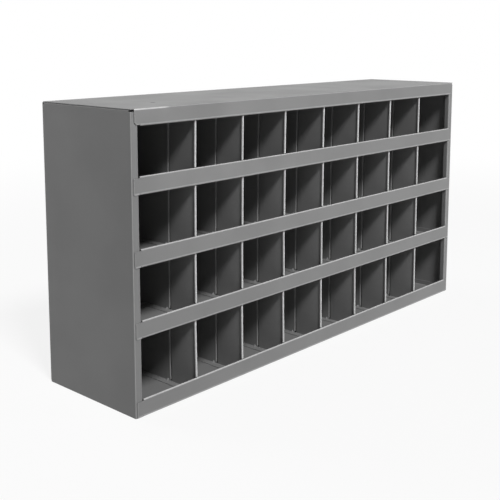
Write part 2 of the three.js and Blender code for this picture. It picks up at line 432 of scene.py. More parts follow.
class Graph:
    """One node tree, with short ways to add and join its nodes."""

    COLOUR_MIX_INPUTS = (0, 6, 7)
    COLOUR_MIX_RESULT = 2

    def __init__(self, tree: bpy.types.NodeTree) -> None:
        """Takes over a tree and empties it."""
        self.tree = tree
        self.tree.nodes.clear()

    def add(self, kind: str, **settings: object) -> bpy.types.Node:
        """Adds a node.

        Args:
            kind: Blender's name of the node's type.
            **settings: The node's properties.

        Returns:
            The node.
        """
        node = self.tree.nodes.new(kind)
        for name, value in settings.items():
            setattr(node, name, value)
        return node

    def feed(self, socket: Socket, value: object) -> None:
        """Gives a socket its value.

        Args:
            socket: An input.
            value: Another node's output, or a plain number or colour.
        """
        if isinstance(value, Socket):
            self.tree.links.new(value, socket)
        else:
            socket.default_value = value

    def result_of(self, kind: str, *values: object, **settings: object) -> Socket:
        """Adds a node and feeds its first inputs.

        Args:
            kind: Blender's name of the node's type.
            *values: What its inputs get, in their order.
            **settings: The node's properties.

        Returns:
            Its first output.
        """
        node = self.add(kind, **settings)
        for socket, value in zip(node.inputs, values):
            self.feed(socket, value)
        return node.outputs[0]

    def end_with(self, kind: str, surface: Socket) -> None:
        """Adds the node that a tree ends with, and feeds it the surface."""
        self.feed(self.add(kind).inputs["Surface"], surface)

    def maths(self, operation: str, *values: object) -> Socket:
        """Works out one number from others."""
        return self.result_of("ShaderNodeMath", *values, operation=operation)

    def towards(self, value: object, goal: float, share: object) -> Socket:
        """Moves a value by a share of its way to a goal."""
        way = self.maths("SUBTRACT", goal, value)
        return self.maths("MULTIPLY_ADD", way, share, value)

    def eased(self, value: object, low: float, high: float, start: float, end: float) -> Socket:
        """Maps a value from one range to another with a smooth step.

        Args:
            value: The number to map.
            low: The value that gives start.
            high: The value that gives end.
            start: The result at and below low.
            end: The result at and above high.

        Returns:
            The result.
        """
        ranges = (low, high, start, end)
        return self.result_of("ShaderNodeMapRange", value, *ranges, interpolation_type="SMOOTHSTEP")

    def parts(self, vector: Socket) -> tuple[Socket, ...]:
        """Takes a vector apart.

        Args:
            vector: The vector.

        Returns:
            Its X, Y and Z.
        """
        node = self.add("ShaderNodeSeparateXYZ")
        self.feed(node.inputs[0], vector)
        return tuple(node.outputs)

    def noise(self, place: Socket, scale: object, detail: float) -> Socket:
        """Draws a noise.

        Args:
            place: Where it is drawn.
            scale: How fine it is.
            detail: How many finer layers lie over it.

        Returns:
            The noise, between 0 and 1.
        """
        node = self.add("ShaderNodeTexNoise")
        for name, value in {"Vector": place, "Scale": scale, "Detail": detail}.items():
            self.feed(node.inputs[name], value)
        return node.outputs["Fac"]

    def tint(self, share: Socket, first: object, second: object) -> Socket:
        """Mixes two colours.

        Args:
            share: The share of the second.
            first: One colour.
            second: The other.

        Returns:
            The mixed colour.
        """
        node = self.add("ShaderNodeMix", data_type="RGBA")
        for index, value in zip(self.COLOUR_MIX_INPUTS, (share, first, second)):
            self.feed(node.inputs[index], value)
        return node.outputs[self.COLOUR_MIX_RESULT]


class EffectGroup(ABC):
    """A surface effect that is built once as a node group and placed in each material that needs it."""

    name: str
    inputs: dict[str, str]
    outputs: dict[str, str]

    def tree(self) -> bpy.types.NodeTree:
        """The effect's node group, which is built on its first use.

        Returns:
            The group.
        """
        found = bpy.data.node_groups.get(self.name)
        if found is not None:
            return found
        tree = bpy.data.node_groups.new(self.name, "ShaderNodeTree")
        for in_out, sockets in (("INPUT", self.inputs), ("OUTPUT", self.outputs)):
            for socket, kind in sockets.items():
                tree.interface.new_socket(socket, in_out=in_out, socket_type=kind)
        graph = Graph(tree)
        entry = graph.add("NodeGroupInput")
        exit_node = graph.add("NodeGroupOutput")
        for socket, value in self.draw(graph, dict(entry.outputs.items())).items():
            graph.feed(exit_node.inputs[socket], value)
        return tree

    def place(self, graph: Graph, **values: object) -> bpy.types.Node:
        """Places the effect in a material.

        Args:
            graph: The material's nodes.
            **values: What goes into the group's inputs.

        Returns:
            The group node.
        """
        node = graph.add("ShaderNodeGroup", node_tree=self.tree())
        for name, value in values.items():
            graph.feed(node.inputs[name], value)
        return node

    @abstractmethod
    def draw(self, graph: Graph, given: Sockets) -> Sockets:
        """Draws the group's nodes.

        Args:
            graph: The group's nodes.
            given: What comes from each input.

        Returns:
            What goes to each output.
        """


class OrangePeel(EffectGroup):
    """The pebbled skin of a baked powder coat, and the slow mottle under it."""

    name = "orange_peel"
    inputs = {"Place": "NodeSocketVector", "Scale": "NodeSocketFloat"}
    outputs = {"Height": "NodeSocketFloat", "Mottle": "NodeSocketFloat"}
    COARSE, SLOW = 0.3, 0.02
    PEBBLE_DETAIL, MOTTLE_DETAIL = 1.0, 2.0

    def draw(self, graph: Graph, given: Sockets) -> Sockets:
        """Draws two sizes of pebble for the height, and a slow noise for the mottle.

        Args:
            graph: The group's nodes.
            given: The place and the scale.

        Returns:
            The height and the mottle.
        """
        place, scale = given["Place"], given["Scale"]
        fine = graph.noise(place, scale, self.PEBBLE_DETAIL)
        coarse = graph.noise(place, graph.maths("MULTIPLY", scale, self.COARSE), self.PEBBLE_DETAIL)
        slow = graph.noise(place, graph.maths("MULTIPLY", scale, self.SLOW), self.MOTTLE_DETAIL)
        return {"Height": graph.maths("ADD", fine, coarse), "Mottle": slow}


class RubbedEdge(EffectGroup):
    """Paint on hems and bends that is worn smoother, and painted lighter there as a painted highlight.
    """

    name = "edge_wear_and_highlight"
    inputs = {
        "Place": "NodeSocketVector",
        "Normal": "NodeSocketVector",
        "Rub": "NodeSocketFloat",
        "Shelter": "NodeSocketFloat",
    }
    outputs = {"Mask": "NodeSocketFloat"}
    # The share of painted highlight that every bend gets.
    BEND_SHARE = 0.3
    BENT, SQUARE = 0.78, 0.97
    PATCHES, PATCH_DETAIL = 160.0, 2.0
    THINNEST = 0.8

    def draw(self, graph: Graph, given: Sockets) -> Sockets:
        """Finds the bends, where the surface faces none of the unit's sides, for a share of painted
        highlight, held back where marked.

        Args:
            graph: The group's nodes.
            given: The place, the normal, the marked worn paint and painted highlight, and where the
                bends' painted highlight is held back.

        Returns:
            The mask.
        """
        size = graph.result_of("ShaderNodeVectorMath", given["Normal"], operation="ABSOLUTE")
        across, deep, high = graph.parts(size)
        squarest = graph.maths("MAXIMUM", graph.maths("MAXIMUM", across, deep), high)
        bent = graph.eased(squarest, self.BENT, self.SQUARE, self.BEND_SHARE, 0.0)
        # Bends get a painted highlight, except where it is held back.
        most = graph.maths("MAXIMUM", given["Rub"], graph.maths("SUBTRACT", bent, given["Shelter"]))
        patches = graph.noise(given["Place"], self.PATCHES, self.PATCH_DETAIL)
        patchy = graph.eased(patches, *NOISE_SPREAD, self.THINNEST, 1.0)
        return {"Mask": graph.maths("MULTIPLY", most, patchy)}


class SettledDust(EffectGroup):
    """A thin film of dust on what faces up."""

    name = "settled_dust"
    inputs = {"Place": "NodeSocketVector", "Normal": "NodeSocketVector", "Amount": "NodeSocketFloat"}
    outputs = {"Mask": "NodeSocketFloat"}
    STEEP, LEVEL = 0.6, 0.98
    PATCHES, PATCH_DETAIL = 14.0, 3.0
    THINNEST = 0.4

    def draw(self, graph: Graph, given: Sockets) -> Sockets:
        """Lays dust on level surfaces, in slow patches.

        Args:
            graph: The group's nodes.
            given: The place, the normal and the amount.

        Returns:
            The mask.
        """
        _, _, upward = graph.parts(given["Normal"])
        level = graph.eased(upward, self.STEEP, self.LEVEL, 0.0, 1.0)
        patches = graph.noise(given["Place"], self.PATCHES, self.PATCH_DETAIL)
        film = graph.maths("MULTIPLY", level, graph.eased(patches, *NOISE_SPREAD, self.THINNEST, 1.0))
        return {"Mask": graph.maths("MULTIPLY", film, given["Amount"])}


@dataclass(frozen=True)
class PowderCoat:
    """Plain grey powder coat, baked on to the finished unit."""

    name: str = "grey_powder_coat"
    grey: float = 0.235
    mottle_grey: float = 0.222
    # The near-white of worn hems and bends, mostly a painted highlight.
    wear_and_highlight_grey: float = 0.8
    # The colour of the painted shade in weld dents and at the open hem ends.
    painted_shade_grey: float = 0.1
    dust_grey: float = 0.42
    gloss_low: float = 0.46
    gloss_high: float = 0.54
    rubbed_roughness: float = 0.34
    specular: float = 0.38
    dust_roughness: float = 0.75
    dust_amount: float = 0.1
    pebbles_a_metre: float = 520.0
    peel_height: float = 0.016 * MM

    def material(self) -> bpy.types.Material:
        """Builds the paint's nodes.

        Returns:
            The material.
        """
        material = bpy.data.materials.new(self.name)
        material.use_nodes = True
        graph = Graph(material.node_tree)
        place = graph.add("ShaderNodeTexCoord").outputs["Object"]
        facing = graph.add("ShaderNodeNewGeometry").outputs["Normal"]
        wear_and_highlight, painted_shade, no_bend_highlight = (
            graph.add("ShaderNodeAttribute", attribute_name=name).outputs["Fac"]
            for name in (WEAR_AND_HIGHLIGHT, PAINTED_SHADE, NO_BEND_HIGHLIGHT)
        )
        peel = OrangePeel().place(graph, Place=place, Scale=self.pebbles_a_metre)
        wear_and_highlight_group = RubbedEdge().place(graph, Place=place, Normal=facing, Rub=wear_and_highlight, Shelter=no_bend_highlight)
        film = SettledDust().place(graph, Place=place, Normal=facing, Amount=self.dust_amount)
        edge = wear_and_highlight_group.outputs["Mask"]
        dust = film.outputs["Mask"]
        mottle = graph.eased(peel.outputs["Mottle"], *NOISE_SPREAD, 0.0, 1.0)
        colour = graph.tint(mottle, shade(self.grey), shade(self.mottle_grey))
        # Weld dents and the open hem ends are painted darker: painted shade.
        colour = graph.tint(painted_shade, colour, shade(self.painted_shade_grey))
        # Hems and bends are painted lighter: worn paint and a painted highlight.
        colour = graph.tint(edge, colour, shade(self.wear_and_highlight_grey))
        colour = graph.tint(dust, colour, shade(self.dust_grey))
        gloss = graph.eased(peel.outputs["Mottle"], *NOISE_SPREAD, self.gloss_low, self.gloss_high)
        gloss = graph.towards(gloss, self.rubbed_roughness, edge)
        gloss = graph.towards(gloss, self.dust_roughness, dust)
        bump = graph.add("ShaderNodeBump")
        bump.inputs["Distance"].default_value = self.peel_height
        graph.feed(bump.inputs["Height"], peel.outputs["Height"])
        paint = graph.add("ShaderNodeBsdfPrincipled")
        paint.inputs["Specular IOR Level"].default_value = self.specular
        graph.feed(paint.inputs["Base Color"], colour)
        graph.feed(paint.inputs["Roughness"], gloss)
        graph.feed(paint.inputs["Normal"], bump.outputs["Normal"])
        graph.end_with("ShaderNodeOutputMaterial", paint.outputs["BSDF"])
        return material


@dataclass(frozen=True)
class Outline:
    """The unit's overall planes, taken from the frame, and the sizes that its pieces share."""

    half_width: float = CAD_BOX[1].x
    front: float = CAD_BOX[0].y
    rear: float = CAD_BOX[1].y
    top: float = CAD_BOX[1].z
    lap_gap: float = 0.3 * MM
    edge_clearance: float = 1.0 * MM
    post_width: float = 12.7 * MM
    post_return: float = 9.5 * MM
    top_lip_drop: float = 24 * MM
    top_lip_return: float = 8 * MM
    tray_lip_height: float = 26 * MM

    @property
    def lap(self) -> float:
        """How far a lapped sheet lies behind the one that covers it."""
        return CARCASS_GAUGE.thickness + self.lap_gap

    @property
    def post_front(self) -> float:
        """The front of the posts, behind the lips and tabs that lap them."""
        return self.front + self.lap

    @property
    def post_rear(self) -> float:
        """The rear edge of the posts' returns."""
        return self.post_front + self.post_return

    @property
    def flange_rear(self) -> float:
        """The rear of the flanges that the back panel covers."""
        return self.rear - self.lap

    @property
    def between_posts(self) -> float:
        """Half the width of what fits between the posts."""
        return self.half_width - self.post_width - self.edge_clearance


@dataclass
class SubAssembly(ABC):
    """A group of pieces that are made alike."""

    outline: Outline = Outline()
    gauge: Gauge = CARCASS_GAUGE

    @abstractmethod
    def build(self) -> list[Piece]:
        """Models the pieces, each under its node's name."""

    def dress(self, pieces: list[Piece], material: bpy.types.Material) -> None:
        """Paints the pieces and seats them on the frame.

        Args:
            pieces: What build() made.
            material: The paint.
        """
        for piece in pieces:
            piece.data.materials.clear()
            piece.data.materials.append(material)
            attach(piece, BODY)
            LOG.info("%s: %d faces", piece.name, len(piece.data.polygons))

    @staticmethod
    def copied(pattern: Piece, shift: Vector) -> Piece:
        """Copies a finished piece.

        Args:
            pattern: The piece to copy.
            shift: How far from it the copy lies.

        Returns:
            The copy, which has a mesh of its own.
        """
        piece = pattern.copy()
        piece.data = pattern.data.copy()
        piece.data.transform(Matrix.Translation(shift))
        bpy.context.scene.collection.objects.link(piece)
        return piece

    @staticmethod
    def stand_for(node: str, piece: Piece) -> Piece:
        """Lets a finished piece stand for a CAD node of the frame.

        Args:
            node: The node's name.
            piece: The piece.

        Returns:
            The piece, named after the node.
        """
        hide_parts(node)
        piece.name = f"{node}_sheet"
        piece.data.name = piece.name
        return piece


@dataclass
class LippedSheets(SubAssembly):
    """Sheets with a front lip that ends in tabs, which lap the posts."""

    # A painted highlight along each lip's lower bend, and painted light on the shaded cut ends of the
    # tabs.
    foot_highlight: float = 0.35
    foot_highlight_reach: float = 3.6 * MM
    tab_painted_light: float = 0.3

    def paint_lip_highlights(self, piece: Piece, foot: float, tab_ends: tuple[float, float]) -> None:
        """Paints a highlight on a lip's lower bend, and lightens the shaded cut ends of its tabs with
        painted light.

        Args:
            piece: The finished piece with the lip.
            foot: The level at which the bend begins.
            tab_ends: Where the left and the right tab end.
        """
        o = self.outline
        left, right = tab_ends

        def from_foot(place: Vector) -> float:
            """A point's distance from the front of the lip's lower bend."""
            return math.hypot(place.y - o.front, max(0.0, place.z - foot))

        def from_end(place: Vector) -> float:
            """A point's distance from the end of a tab, or the whole reach for what lies behind it."""
            beside = min(place.x - left, right - place.x)
            return beside if place.y < o.post_front else o.edge_clearance

        mark_points(piece, WEAR_AND_HIGHLIGHT, self.foot_highlight_reach - self.gauge.bend, from_foot, self.foot_highlight)
        mark_points(piece, WEAR_AND_HIGHLIGHT, o.edge_clearance, from_end, self.tab_painted_light)


@dataclass
class Carcass(LippedSheets):
    """The two side panels, the top panel and the back panel."""

    rear_flange: float = 12.7 * MM
    side_top_flange: float = 14 * MM
    side_top_radius: float = 0.2 * MM
    corner_relief: float = 5 * MM
    lip_end_relief: float = 2.4 * MM
    tab_drop: float = 22 * MM
    tab_inset: float = 5.8 * MM
    tab_chamfer: float = 3 * MM
    back_inset: float = 1.5 * MM
    top_weld: WeldMark = WeldMark(radius=5 * MM, core=3.8 * MM, depth=0.8 * MM)
    back_weld: WeldMark = WeldMark(paint_shade=0.6)
    top_welds: tuple[tuple[float, float], ...] = ((-332 * MM, -38 * MM), (393 * MM, -36 * MM))
    back_weld_pitch: float = 101.6 * MM
    back_weld_columns: int = 8
    back_weld_inset: float = 7 * MM
    # A painted highlight along the left end of the top's front bend.
    streak_end: float = -352 * MM
    streak_fade: float = 16 * MM
    streak_highlight: float = 0.9

    def build(self) -> list[Piece]:
        """Models the four panels.

        Returns:
            The pieces.
        """
        return [
            self.stand_for("left_side_panel", self.side_panel(Way.LEFT)),
            self.stand_for("right_side_panel", self.side_panel(Way.RIGHT)),
            self.stand_for("top_panel", self.top_panel()),
            self.stand_for("back_panel", self.back_panel()),
        ]

    def side_panel(self, side: Way) -> Piece:
        """Folds a side panel: a wall with a front post, a rear flange and a top flange.

        Args:
            side: The side that it closes.

        Returns:
            The finished piece.
        """
        o, g = self.outline, self.gauge
        inward = side.other
        wall = side.vector.x * (o.half_width - g.half)
        wall_front = o.post_front + g.bend
        wall_rear = o.flange_rear - g.bend
        wall_top = o.top - o.lap - g.bend
        low = Vector((wall, wall_front, 0))
        high = Vector((wall, wall_rear, wall_top))
        sheet = FoldedSheet("side_panel", g, low, high)
        reliefs = (o.post_front + self.corner_relief, o.flange_rear - self.corner_relief)
        sheet.split(Way.BACK, *reliefs)
        sheet.pick(Way.UP, z=wall_top, y=reliefs)
        sheet.run(g.bend_radius - self.side_top_radius).turn(inward, inside=self.side_top_radius)
        sheet.run(self.side_top_flange - g.thickness - self.side_top_radius)
        sheet.pick(Way.BACK, x=wall, y=wall_rear).turn(inward).run(self.rear_flange - g.bend)
        sheet.pick(Way.FRONT, x=wall, y=wall_front).turn(inward).run(o.post_width - 2 * g.bend)
        sheet.turn(Way.BACK).run(o.post_return - g.bend)
        return sheet.close()

    def top_panel(self) -> Piece:
        """Folds the top panel: a lid with a rear flange, and a deep front lip with a tab at each end.

        Returns:
            The finished piece.
        """
        o, g = self.outline, self.gauge
        middle = o.top - g.half
        lid_front = o.front + g.bend
        lid_rear = o.flange_rear - g.bend
        lip_end = o.between_posts - self.lip_end_relief
        tab_end = o.half_width - self.tab_inset
        low = Vector((-lip_end, lid_front, middle))
        high = Vector((lip_end, lid_rear, middle))
        sheet = FoldedSheet("top_panel", g, low, high)
        for side in SIDES:
            sheet.pick(side, x=side.vector.x * lip_end).run(self.lip_end_relief)
            sheet.run(tab_end - o.between_posts).run(self.tab_inset)
        sheet.pick(Way.BACK, x=(-o.between_posts, o.between_posts), y=lid_rear).turn(Way.DOWN)
        sheet.run(self.rear_flange - g.bend)
        sheet.pick(Way.FRONT, x=(-tab_end, tab_end), y=lid_front).turn(Way.DOWN)
        sheet.run(o.top_lip_drop - 2 * g.bend)
        underside = o.top - o.top_lip_drop
        lip_foot = underside + g.bend
        sheet.pick(Way.DOWN, x=(-lip_end, lip_end), z=lip_foot).turn(Way.BACK)
        sheet.run(o.top_lip_return - g.bend)
        tab_foot = o.top - self.tab_drop
        for side in SIDES:
            start, end = side.vector.x * lip_end, side.vector.x * tab_end
            sheet.pick(Way.DOWN, x=(start, end), y=o.front + g.half, z=lip_foot).run(lip_foot - tab_foot)
            sheet.run_on(x=end, z=lip_foot)
            sheet.trim_corners(self.tab_chamfer, x=end, z=tab_foot)
        for x, y in self.top_welds:
            sheet.dent(Vector((x, y, middle)), Way.DOWN, self.top_weld)
        fade_start = self.streak_end - self.streak_fade
        tab_light_start = tab_end - o.edge_clearance
        sheet.split(Way.RIGHT, fade_start, self.streak_end, -tab_light_start, tab_light_start)
        sheet.split(Way.UP, underside + self.foot_highlight_reach)
        piece = sheet.close()
        # Painted shade in the weld dents.
        for x, y in self.top_welds:
            self.paint_shade(piece, Vector((x, y, o.top)), self.top_weld)
        reach = g.bend / 2

        def from_streak(place: Vector) -> float:
            """A point's distance from the painted highlight at the left end of the front bend, which
            fades out along it.
            """
            beside = max(0.0, math.hypot(place.y - o.front, place.z - o.top) - reach)
            return beside + max(0.0, place.x - fade_start) / self.streak_fade * reach

        mark_points(piece, WEAR_AND_HIGHLIGHT, reach, from_streak, self.streak_highlight)
        self.paint_lip_highlights(piece, lip_foot, (-tab_end, tab_end))
        return piece

    @staticmethod
    def paint_shade(piece: Piece, middle: Vector, mark: WeldMark) -> None:
        """Paints shade into a weld mark, darkest in its core."""
        rim = mark.radius - mark.core
        mark_points(piece, PAINTED_SHADE, rim, lambda place: (place - middle).length - mark.core, mark.paint_shade)

    def back_panel(self) -> Piece:
        """Cuts the flat back panel.

        Returns:
            The finished piece.
        """
        o = self.outline
        across = o.half_width - self.back_inset
        depth = o.rear - self.gauge.half
        low = Vector((-across, depth, self.back_inset))
        high = Vector((across, depth, o.top - self.back_inset))
        sheet = FoldedSheet("back_panel", self.gauge, low, high)
        for x, z in self.back_welds():
            sheet.dent(Vector((x, depth, z)), Way.FRONT, self.back_weld)
        piece = sheet.close()
        # Painted shade in the weld dents.
        for x, z in self.back_welds():
            self.paint_shade(piece, Vector((x, o.rear, z)), self.back_weld)
        return piece

    def back_welds(self) -> list[tuple[float, float]]:
        """Finds where the back panel is welded to the flanges of the shelves, the top and the sides.

        Returns:
            The welds' places, in X and Z.
        """
        o, inset = self.outline, self.back_weld_inset
        floors = [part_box(node)[0].z for node in ShelfStack.nodes]
        levels = [floor + inset for floor in floors] + [o.top - inset]
        first = -self.back_weld_pitch * (self.back_weld_columns - 1) / 2
        columns = [first + column * self.back_weld_pitch for column in range(self.back_weld_columns)]
        places = [(x, level) for level in levels for x in columns]
        for low, high in zip(floors, floors[1:] + [o.top]):
            places += [(side.vector.x * (o.half_width - inset), (low + high) / 2) for side in SIDES]
        return places


@dataclass
class ShelfStack(LippedSheets):
    """The four tray shelves."""

    nodes: tuple[str, ...] = ("base_shelf", "lower_shelf", "middle_shelf", "upper_shelf")
    hem_radius: float = 0.6 * MM
    hem_return: float = 8 * MM
    hem_wear_and_highlight: float = 0.9
    left_tab_inset: float = 2.6 * MM
    right_tab_inset: float = 5 * MM
    tab_top_notch: float = 2.4 * MM
    tab_foot_notch: float = 0.6 * MM
    tab_relief: float = 1.0 * MM
    tab_corner: float = 2 * MM
    tab_corner_steps: int = 3
    flange: float = 10.5 * MM

    def build(self) -> list[Piece]:
        """Models the lowest tray and copies it to each level.

        Returns:
            The pieces.
        """
        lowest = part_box(self.nodes[0])[0]
        pattern = self.tray(lowest.z)
        pieces = []
        for node in self.nodes:
            pieces.append(self.stand_for(node, self.copied(pattern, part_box(node)[0] - lowest)))
        bpy.data.objects.remove(pattern)
        return pieces

    def tray(self, underside: float) -> Piece:
        """Folds a tray: a floor with a hemmed front lip, upturned ends and an upturned rear edge.

        Args:
            underside: The level that the tray's underside lies at.

        Returns:
            The finished piece.
        """
        o, g = self.outline, self.gauge
        middle = underside + g.half
        floor_front = o.front + g.bend
        floor_rear = o.flange_rear - g.bend
        ends_front = o.post_rear + o.edge_clearance
        floor_end = o.half_width - o.lap - g.bend
        low = Vector((-o.between_posts, floor_front, middle))
        high = Vector((o.between_posts, floor_rear, middle))
        sheet = FoldedSheet("tray", g, low, high)
        sheet.split(Way.BACK, ends_front)
        for side in SIDES:
            sheet.pick(side, x=side.vector.x * o.between_posts, y=(ends_front, floor_rear))
            sheet.run(floor_end - o.between_posts).turn(Way.UP).run(self.flange - g.bend)
        sheet.pick(Way.BACK, x=(-o.between_posts, o.between_posts), y=floor_rear).turn(Way.UP)
        sheet.run(self.flange - g.bend)
        hem = self.hem_radius + g.thickness
        lip_top = underside + o.tray_lip_height
        lip_foot = underside + g.bend
        tab_foot = underside + self.tab_foot_notch
        tab_top = lip_top - self.tab_top_notch
        sheet.pick(Way.FRONT, y=floor_front).turn(Way.UP).run(tab_top - lip_foot)
        sheet.run(lip_top - hem - tab_top).turn(Way.BACK, DOUBLED_OVER, self.hem_radius)
        sheet.run(self.hem_return)
        lip_middle = o.front + g.half
        tab_start = o.between_posts + self.tab_relief
        tab_ends = (self.left_tab_inset - o.half_width, o.half_width - self.right_tab_inset)
        for side, end in zip(SIDES, tab_ends):
            edge, start = side.vector.x * o.between_posts, side.vector.x * tab_start
            sheet.pick(side, x=edge, y=lip_middle, z=(lip_foot, tab_top))
            sheet.run(self.tab_relief).run(abs(end) - tab_start)
            sheet.pick(Way.DOWN, x=(start, end), y=lip_middle, z=lip_foot).run(lip_foot - tab_foot)
            sheet.run_on(x=end, z=lip_foot)
            sheet.trim_corners(self.tab_corner, self.tab_corner_steps, x=end)
        clear = o.edge_clearance
        open_end = o.between_posts - clear
        left_end, right_end = tab_ends
        sheet.split(Way.UP, underside + self.foot_highlight_reach)
        sheet.split(Way.RIGHT, left_end + clear, -open_end, open_end, right_end - clear)
        piece = sheet.close()

        def from_hem(place: Vector) -> float:
            """A point's distance from the top of the hem, or the whole reach at its open ends."""
            return lip_top - place.z if abs(place.x) < open_end + TOUCHING else hem

        def from_open_end(place: Vector) -> float:
            """A point's distance from an open end of the hem, above the tab."""
            above_tab = place.z - (tab_top + lip_top) / 2
            return max(0.0, o.between_posts - abs(place.x)) + max(0.0, -above_tab)

        # Worn paint and a painted highlight along the top of the hem.
        mark_points(piece, WEAR_AND_HIGHLIGHT, hem, from_hem, self.hem_wear_and_highlight)
        # Painted shade at the open ends of the hem, where the gap beside the post is dark.
        mark_points(piece, PAINTED_SHADE, clear, from_open_end)
        self.paint_lip_highlights(piece, lip_foot, tab_ends)
        return piece


@dataclass
class DividerRows(SubAssembly):
    """Seven dividers in each of the four rows."""

    gauge: Gauge = DIVIDER_GAUGE
    dividers_a_row: int = 7
    setback: float = 3.2 * MM
    hem_radius: float = 0.75 * MM
    hem_return: float = 0.9 * MM
    lip_notch: float = 2.8 * MM
    foot: float = 11.5 * MM
    bead_setback: float = 63 * MM
    bead_depth: float = 2.4 * MM
    bead_slope: float = 60
    bead_radius: float = 0.5 * MM
    relief_width: float = 6 * MM
    relief_height: float = 3.5 * MM
    dart_setback: float = 70 * MM
    dart_width: float = 8 * MM
    dart_height: float = 4.2 * MM
    row_leans: tuple[float, ...] = (0.8, 0.2, -0.4, -0.8)
    lean_spread: float = 0.4
    seed: int = 5

    def build(self) -> list[Piece]:
        """Models each row's divider once and copies it along the row, each copy leaning a little.

        Returns:
            The pieces.
        """
        chance = random.Random(self.seed)
        pieces = []
        for row, row_lean in enumerate(self.row_leans, start=1):
            first = f"divider_row{row}_1"
            pattern = self.divider(first, row == 1)
            for column in range(1, self.dividers_a_row + 1):
                node = f"divider_row{row}_{column}"
                piece = self.copied(pattern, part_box(node)[0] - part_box(first)[0])
                self.lean(piece, node, row_lean + chance.uniform(-self.lean_spread, self.lean_spread))
                pieces.append(self.stand_for(node, piece))
            bpy.data.objects.remove(pattern)
        return pieces

    def divider(self, node: str, under_top_lip: bool) -> Piece:
        """Folds a divider: a wall with a rolled front edge and a bead, and a foot with a dart.

        Args:
            node: The CAD node that it stands for.
            under_top_lip: Whether it is cut back round the top panel's lip.

        Returns:
            The finished piece.
        """
        o, g = self.outline, self.gauge
        low_corner, high_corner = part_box(node)
        middle = low_corner.x + self.foot - g.half
        foot_bend = low_corner.z + g.bend
        head = high_corner.z
        rear_edge = high_corner.y
        hem_front = o.front + self.setback
        hem_size = self.hem_radius + g.thickness
        wall_front = hem_front + self.lip_notch
        bead_middle = o.front + self.bead_setback
        slope = math.radians(self.bead_slope)
        arc = self.bead_radius + g.half
        flank = (self.bead_depth - 2 * arc * (1 - math.cos(slope))) / math.sin(slope)
        bead_half = 2 * arc * math.sin(slope) + flank * math.cos(slope)
        relief_front = bead_middle - self.relief_width / 2
        relief_rear = bead_middle + self.relief_width / 2
        beside_bead = self.relief_width / 2 - bead_half
        low = Vector((middle, wall_front, foot_bend))
        high = Vector((middle, relief_front, head))
        sheet = FoldedSheet("divider", g, low, high)
        sheet.pick(Way.BACK, y=relief_front).run(beside_bead)
        sheet.turn(Way.RIGHT, self.bead_slope, self.bead_radius).run(flank)
        sheet.turn(Way.LEFT, 2 * self.bead_slope, self.bead_radius).run(flank)
        sheet.turn(Way.RIGHT, self.bead_slope, self.bead_radius).run(beside_bead)
        sheet.run(rear_edge - relief_rear)
        self.raise_relief(sheet, foot_bend, bead_middle)
        sheet.pick(Way.DOWN, x=middle, z=foot_bend).turn(Way.LEFT).run(self.foot - g.bend)
        foot_span, foot_rise = (low_corner.x, middle), (low_corner.z, foot_bend)
        sheet.bridge((foot_span, relief_front, foot_rise), (foot_span, relief_rear, foot_rise))
        dart = Vector((middle, o.front + self.dart_setback, low_corner.z + g.half))
        self.press_dart(sheet, dart, head)
        hem_foot = low_corner.z - CARCASS_GAUGE.thickness + o.tray_lip_height
        sheet.split(Way.UP, hem_foot)
        sheet.pick(Way.FRONT, y=wall_front, z=(hem_foot, head)).run(self.lip_notch - hem_size)
        sheet.turn(Way.LEFT, DOUBLED_OVER, self.hem_radius).run(self.hem_return)
        if under_top_lip:
            notch_foot = o.top - o.top_lip_drop - o.lap_gap
            notch_rear = o.front + o.top_lip_return + o.edge_clearance
            sheet.split(Way.UP, notch_foot)
            sheet.split(Way.BACK, notch_rear)
            sheet.cut_out((None, (o.front, notch_rear), (notch_foot, o.top)))
        piece = sheet.close()
        dart_reach = self.dart_height + g.half
        # Worn paint and a painted highlight along the rolled front edge.
        mark_points(piece, WEAR_AND_HIGHLIGHT, 2 * hem_size, lambda place: place.y - hem_front)
        # The dart is kept free of the bends' painted highlight.
        mark_points(piece, NO_BEND_HIGHLIGHT, g.half, lambda place: (place - dart).length - dart_reach)
        return piece

    def raise_relief(self, sheet: FoldedSheet, foot_bend: float, bead_middle: float) -> None:
        """Lifts the foot of the bead into a three-cornered relief.

        Args:
            sheet: The divider's sheet, before its foot is turned.
            foot_bend: The level of its lower edge.
            bead_middle: Where the bead's ridge lies.
        """
        for corner in sheet.mesh().verts:
            beside = abs(corner.co.y - bead_middle) / (self.relief_width / 2)
            if beside < 1 and abs(corner.co.z - foot_bend) < TOUCHING:
                corner.co.z += self.relief_height * (1 - beside)
        sheet.update()

    def press_dart(self, sheet: FoldedSheet, corner: Vector, head: float) -> None:
        """Presses a dart across the foot's bend: a slanting ridge whose flanks run out into the sheet.

        Args:
            sheet: The divider's sheet.
            corner: Where the wall and the foot would meet if the bend were sharp, at the dart's middle.
            head: The level of the wall's upper edge.
        """
        up, left = Way.UP.vector, Way.LEFT.vector
        bend = self.gauge.bend_radius + self.gauge.half
        ends = (corner.y - self.dart_width / 2, corner.y + self.dart_width / 2)
        sheet.split(Way.BACK, *ends, corner.y)
        for end in ends:
            beside = Vector((corner.x, end, corner.z))
            wall = (corner.x, (end, corner.y), (corner.z + bend, head))
            sheet.score(wall, Way.RIGHT, beside + up * bend, corner + up * self.dart_height)
            foot = ((corner.x - self.foot, corner.x - bend), (end, corner.y), corner.z)
            sheet.score(foot, Way.UP, beside + left * bend, corner + left * self.dart_height)
        outward = (left + up) / 2
        for point in sheet.mesh().verts:
            short = self.dart_height - (point.co - corner).dot(2 * outward)
            if abs(point.co.y - corner.y) < TOUCHING and short > 0:
                point.co += outward * short
        sheet.update()

